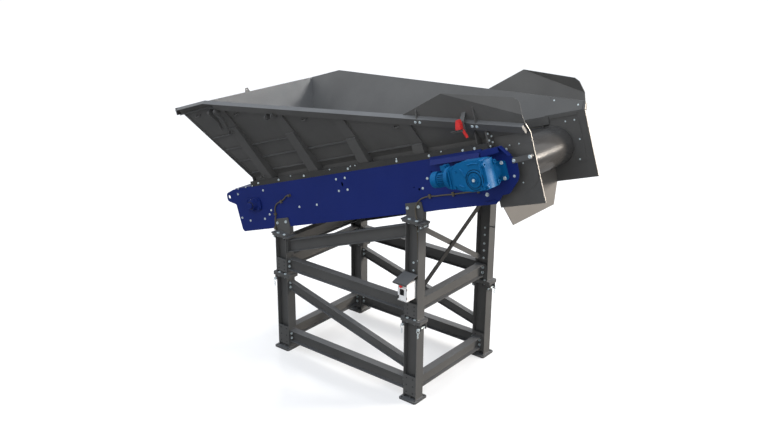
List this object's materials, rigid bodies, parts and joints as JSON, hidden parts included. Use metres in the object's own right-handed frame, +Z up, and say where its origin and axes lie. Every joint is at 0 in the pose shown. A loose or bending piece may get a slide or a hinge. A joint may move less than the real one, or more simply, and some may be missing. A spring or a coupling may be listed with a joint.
{
  "type": "bulk material feeder",
  "caption": "Bulk material feeder: a flared steel hopper over a short inclined belt with shaft-mounted drive, carried on a bolted two-tier stand with feet to anchor.",
  "frame": {"origin": "middle of the four feet, on the ground", "axes": "+X along the feed direction to the discharge, +Y to the far side from the drive, +Z up"},
  "size_m": [4.7228, 2.4444, 3.6096],
  "materials": {
    "stand_paint": "satin paint",
    "hopper_paint": "satin paint",
    "liner_steel": "satin paint",
    "chute_steel": "satin paint",
    "blue_paint": "gloss paint",
    "drive_paint": "gloss paint",
    "zinc": "zinc plated",
    "drum_steel": "turned",
    "shaft_steel": "ground",
    "roller_steel": "satin paint",
    "bearing_iron": "painted",
    "belt_rubber": "matte",
    "red_plastic": "satin",
    "white_plastic": "satin",
    "black_plastic": "satin",
    "cable_jacket": "matte"
  },
  "bodies": {
    "frame": {"base_rails": "hopper_paint", "belt": "belt_rubber", "belt_scraper": "stand_paint", "bottom_beams": "stand_paint", "chute_back_plate": "chute_steel", "control_box": "white_plastic", "control_mount": "stand_paint", "cross_members": "stand_paint", "discharge_liners": "liner_steel", "discharge_plate_far": "hopper_paint", "discharge_plate_near": "hopper_paint", "drive_cable": "cable_jacket", "drive_canopy": "blue_paint", "gear_motor": "drive_paint", "gearbox": "drive_paint", "head_bearings": "bearing_iron", "head_braces": "stand_paint", "hopper_bolts": "zinc", "hopper_ribs_far": "hopper_paint", "hopper_ribs_near": "hopper_paint", "hopper_rim": "hopper_paint", "hopper_tail_wall": "hopper_paint", "hopper_wall_far": "hopper_paint", "hopper_wall_near": "hopper_paint", "lower_columns_far": "stand_paint", "lower_columns_near": "stand_paint", "lugs_and_links": "hopper_paint", "middle_beams": "stand_paint", "roller_axles": "shaft_steel", "saddle_brackets": "stand_paint", "side_plate_far": "blue_paint", "side_plate_near": "blue_paint", "skirt_rubbers": "belt_rubber", "stand_bolts": "zinc", "stand_diagonals": "stand_paint", "tail_bearings": "bearing_iron", "tail_cable": "cable_jacket", "tail_cover": "blue_paint", "top_beams": "stand_paint", "trip_bracket": "stand_paint", "trip_switch_body": "red_plastic", "upper_columns_far": "stand_paint", "upper_columns_near": "stand_paint", "wing_far": "hopper_paint", "wing_gussets": "hopper_paint", "wing_near": "hopper_paint"},
    "head_drum_set": {"head_drum": "drum_steel", "head_shaft": "shaft_steel"},
    "tail_drum_set": {"tail_drum": "drum_steel", "tail_shaft": "shaft_steel"},
    "trip_lever_body": {"trip_lever": "red_plastic"},
    "estop_body": {"estop_button": "red_plastic"},
    "selector_body": {"selector_knob": "black_plastic"},
    "carry_roller_1_body": {"carry_roller_1": "roller_steel"},
    "carry_roller_2_body": {"carry_roller_2": "roller_steel"},
    "carry_roller_3_body": {"carry_roller_3": "roller_steel"},
    "carry_roller_4_body": {"carry_roller_4": "roller_steel"},
    "carry_roller_5_body": {"carry_roller_5": "roller_steel"},
    "return_roller_1_body": {"return_roller_1": "roller_steel"},
    "return_roller_2_body": {"return_roller_2": "roller_steel"}
  },
  "joints": [
    {"name": "head_drum_spin", "type": "hinge", "parent": "frame", "child": "head_drum_set", "pos_m": [1.92, 0, 2.87], "axis": [0, 1, 0], "continuous": true},
    {"name": "tail_drum_spin", "type": "hinge", "parent": "frame", "child": "tail_drum_set", "pos_m": [-1.52283, 0, 1.75136], "axis": [0, 1, 0], "continuous": true},
    {"name": "carry_roller_1_spin", "type": "hinge", "parent": "frame", "child": "carry_roller_1_body", "pos_m": [-1.02877, 0, 2.07539], "axis": [0, 1, 0], "continuous": true},
    {"name": "carry_roller_2_spin", "type": "hinge", "parent": "frame", "child": "carry_roller_2_body", "pos_m": [-0.45814, 0, 2.2608], "axis": [0, 1, 0], "continuous": true},
    {"name": "carry_roller_3_spin", "type": "hinge", "parent": "frame", "child": "carry_roller_3_body", "pos_m": [0.11249, 0, 2.44621], "axis": [0, 1, 0], "continuous": true},
    {"name": "carry_roller_4_spin", "type": "hinge", "parent": "frame", "child": "carry_roller_4_body", "pos_m": [0.68313, 0, 2.63162], "axis": [0, 1, 0], "continuous": true},
    {"name": "carry_roller_5_spin", "type": "hinge", "parent": "frame", "child": "carry_roller_5_body", "pos_m": [1.25376, 0, 2.81703], "axis": [0, 1, 0], "continuous": true},
    {"name": "return_roller_1_spin", "type": "hinge", "parent": "frame", "child": "return_roller_1_body", "pos_m": [-0.4733, 0, 1.82204], "axis": [0, 1, 0], "continuous": true},
    {"name": "return_roller_2_spin", "type": "hinge", "parent": "frame", "child": "return_roller_2_body", "pos_m": [1.04839, 0, 2.31647], "axis": [0, 1, 0], "continuous": true},
    {"name": "trip_lever_swing", "type": "hinge", "parent": "frame", "child": "trip_lever_body", "pos_m": [1.59849, -0.8, 3.24789], "axis": [0, 1, 0], "range_deg": [-25, 25]},
    {"name": "estop_press", "type": "slide", "parent": "frame", "child": "estop_body", "axis": [0, 1, 0], "range_m": [0, 0.006]},
    {"name": "selector_turn", "type": "hinge", "parent": "frame", "child": "selector_body", "pos_m": [0.99, -0.925, 1.397], "axis": [0, 1, 0], "range_deg": [-45, 45]}
  ],
  "couplings": [
    {"joint": "tail_drum_spin", "follows": "head_drum_spin", "ratio": 1},
    {"joint": "carry_roller_1_spin", "follows": "head_drum_spin", "ratio": 4.636},
    {"joint": "carry_roller_2_spin", "follows": "head_drum_spin", "ratio": 4.636},
    {"joint": "carry_roller_3_spin", "follows": "head_drum_spin", "ratio": 4.636},
    {"joint": "carry_roller_4_spin", "follows": "head_drum_spin", "ratio": 4.636},
    {"joint": "carry_roller_5_spin", "follows": "head_drum_spin", "ratio": 4.636},
    {"joint": "return_roller_1_spin", "follows": "head_drum_spin", "ratio": -4.636},
    {"joint": "return_roller_2_spin", "follows": "head_drum_spin", "ratio": -4.636}
  ]
}
